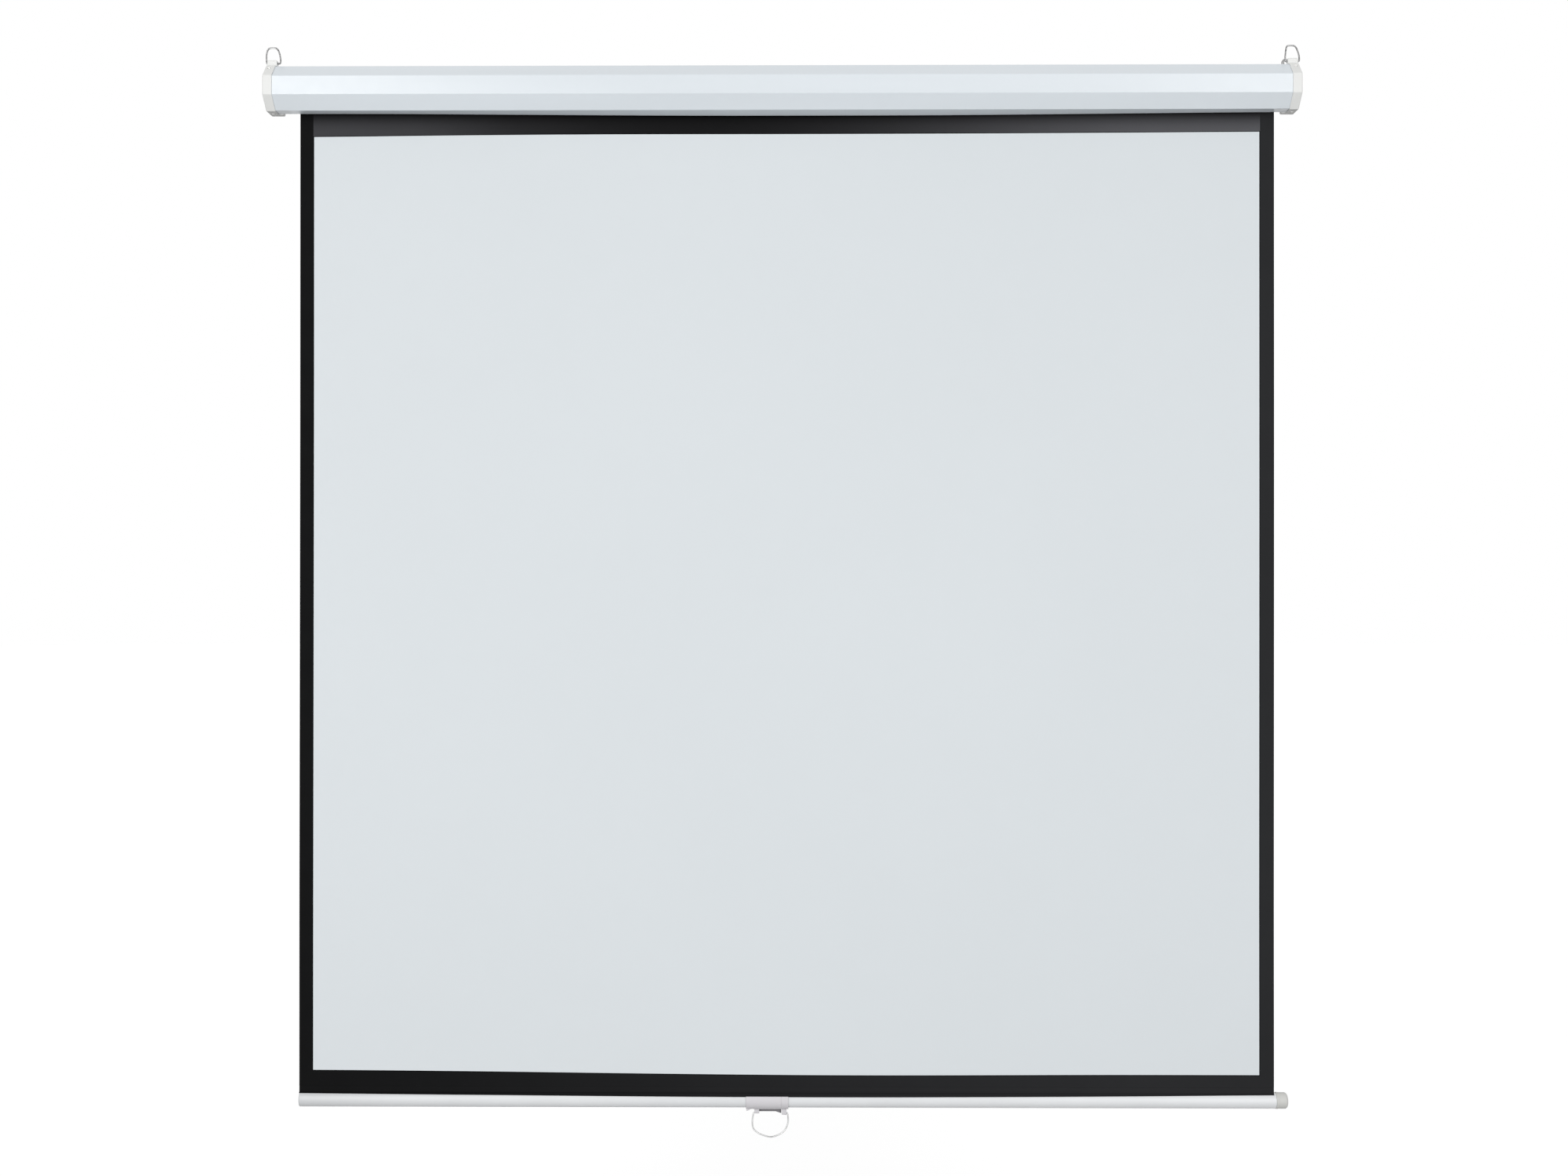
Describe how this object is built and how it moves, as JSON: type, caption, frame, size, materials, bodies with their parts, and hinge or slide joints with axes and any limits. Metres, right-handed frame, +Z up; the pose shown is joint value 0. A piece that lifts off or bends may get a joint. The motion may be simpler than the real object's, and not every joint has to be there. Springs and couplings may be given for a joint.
{
  "type": "pull down projector screen",
  "caption": "Pull-down projector screen: octagonal housing with ring-hung end caps, ratchet spring roller, white sheet with black border, round weight bar and wire pull handle.",
  "frame": {"origin": "centre of the casing's flat back face, which faces the wall", "axes": "+Y out of the back towards the wall (the front faces -Y), +Z up along the hanging sheet, +X along the roller to the right as seen from the front"},
  "size_m": [1.582, 0.0693, 1.6766],
  "materials": {
    "casing": "semi-gloss white coil-coated steel",
    "end_cap_l": "satin white moulded plastic",
    "end_cap_r": "satin white moulded plastic",
    "idle_bushing": "natural nylon",
    "screw_top_l": "bright zinc",
    "screw_top_r": "bright zinc",
    "screw_under_l": "bright zinc",
    "screw_under_r": "bright zinc",
    "wall_tab": "zinc plated steel",
    "spindle": "drawn steel",
    "ratchet_wheel": "yellow zinc",
    "torsion_spring": "oiled spring wire",
    "screen_sheet": "matt white coated glass cloth with a black border",
    "roller_tube": "mill finish tube",
    "sheet_on_roller": "black backed cloth",
    "spring_end_plug": "grey nylon",
    "idle_end_plug": "grey nylon",
    "spindle_bearing": "natural nylon",
    "idle_pin": "drawn steel",
    "pawl_pin_a": "steel rivet",
    "pawl_pin_b": "steel rivet",
    "pawl_a": "yellow zinc",
    "pawl_b": "yellow zinc",
    "bar_tube": "satin silver tube",
    "bar_plug_l": "light grey plastic",
    "bar_cap_r": "warm light grey plastic",
    "bar_hem": "black border cloth",
    "handle_clip": "light grey moulded plastic",
    "handle_jaw": "light grey moulded plastic",
    "pull_bail": "bright plated wire",
    "hang_ring_l": "bright chrome wire",
    "hang_ring_r": "bright chrome wire"
  },
  "bodies": {
    "housing": {"casing": "casing", "end_cap_l": "end_cap_l", "end_cap_r": "end_cap_r", "idle_bushing": "idle_bushing", "screw_top_l": "screw_top_l", "screw_top_r": "screw_top_r", "screw_under_l": "screw_under_l", "screw_under_r": "screw_under_r", "wall_tab": "wall_tab", "spindle": "spindle", "ratchet_wheel": "ratchet_wheel", "torsion_spring": "torsion_spring", "screen_sheet": "screen_sheet"},
    "roller": {"roller_tube": "roller_tube", "sheet_on_roller": "sheet_on_roller", "spring_end_plug": "spring_end_plug", "idle_end_plug": "idle_end_plug", "spindle_bearing": "spindle_bearing", "idle_pin": "idle_pin", "pawl_pin_a": "pawl_pin_a", "pawl_pin_b": "pawl_pin_b"},
    "pawl_a": {"pawl_a": "pawl_a"},
    "pawl_b": {"pawl_b": "pawl_b"},
    "weight_bar": {"bar_tube": "bar_tube", "bar_plug_l": "bar_plug_l", "bar_cap_r": "bar_cap_r", "bar_hem": "bar_hem", "handle_clip": "handle_clip", "handle_jaw": "handle_jaw"},
    "bail": {"pull_bail": "pull_bail"},
    "ring_l": {"hang_ring_l": "hang_ring_l"},
    "ring_r": {"hang_ring_r": "hang_ring_r"}
  },
  "joints": [
    {"name": "screen_slide", "type": "slide", "parent": "housing", "child": "weight_bar", "axis": [0, 0, 1], "range_m": [0, 1.5], "deforming": ["screen_sheet"]},
    {"name": "roller_spin", "type": "hinge", "parent": "housing", "child": "roller", "pos_m": [0, -0.0366, 0], "axis": [1, 0, 0], "range_deg": [0, 5040]},
    {"name": "pawl_a_pivot", "type": "hinge", "parent": "roller", "child": "pawl_a", "pos_m": [-0.7542, -0.0366, 0.0104], "axis": [1, 0, 0], "range_deg": [-6, 15]},
    {"name": "pawl_b_pivot", "type": "hinge", "parent": "roller", "child": "pawl_b", "pos_m": [-0.7542, -0.0366, -0.0104], "axis": [1, 0, 0], "range_deg": [-6, 15]},
    {"name": "bail_swing", "type": "hinge", "parent": "weight_bar", "child": "bail", "pos_m": [-0.0171, -0.0162, -1.5729], "axis": [1, 0, 0], "range_deg": [-85, 85]},
    {"name": "ring_l_swing", "type": "hinge", "parent": "housing", "child": "ring_l", "pos_m": [-0.77895, -0.042, 0.0395], "axis": [1, 0, 0], "range_deg": [-95, 115]},
    {"name": "ring_r_swing", "type": "hinge", "parent": "housing", "child": "ring_r", "pos_m": [0.77895, -0.042, 0.0395], "axis": [1, 0, 0], "range_deg": [-95, 115]}
  ],
  "couplings": [
    {"joint": "roller_spin", "follows": "screen_slide", "rad_per_m": 58.643}
  ]
}
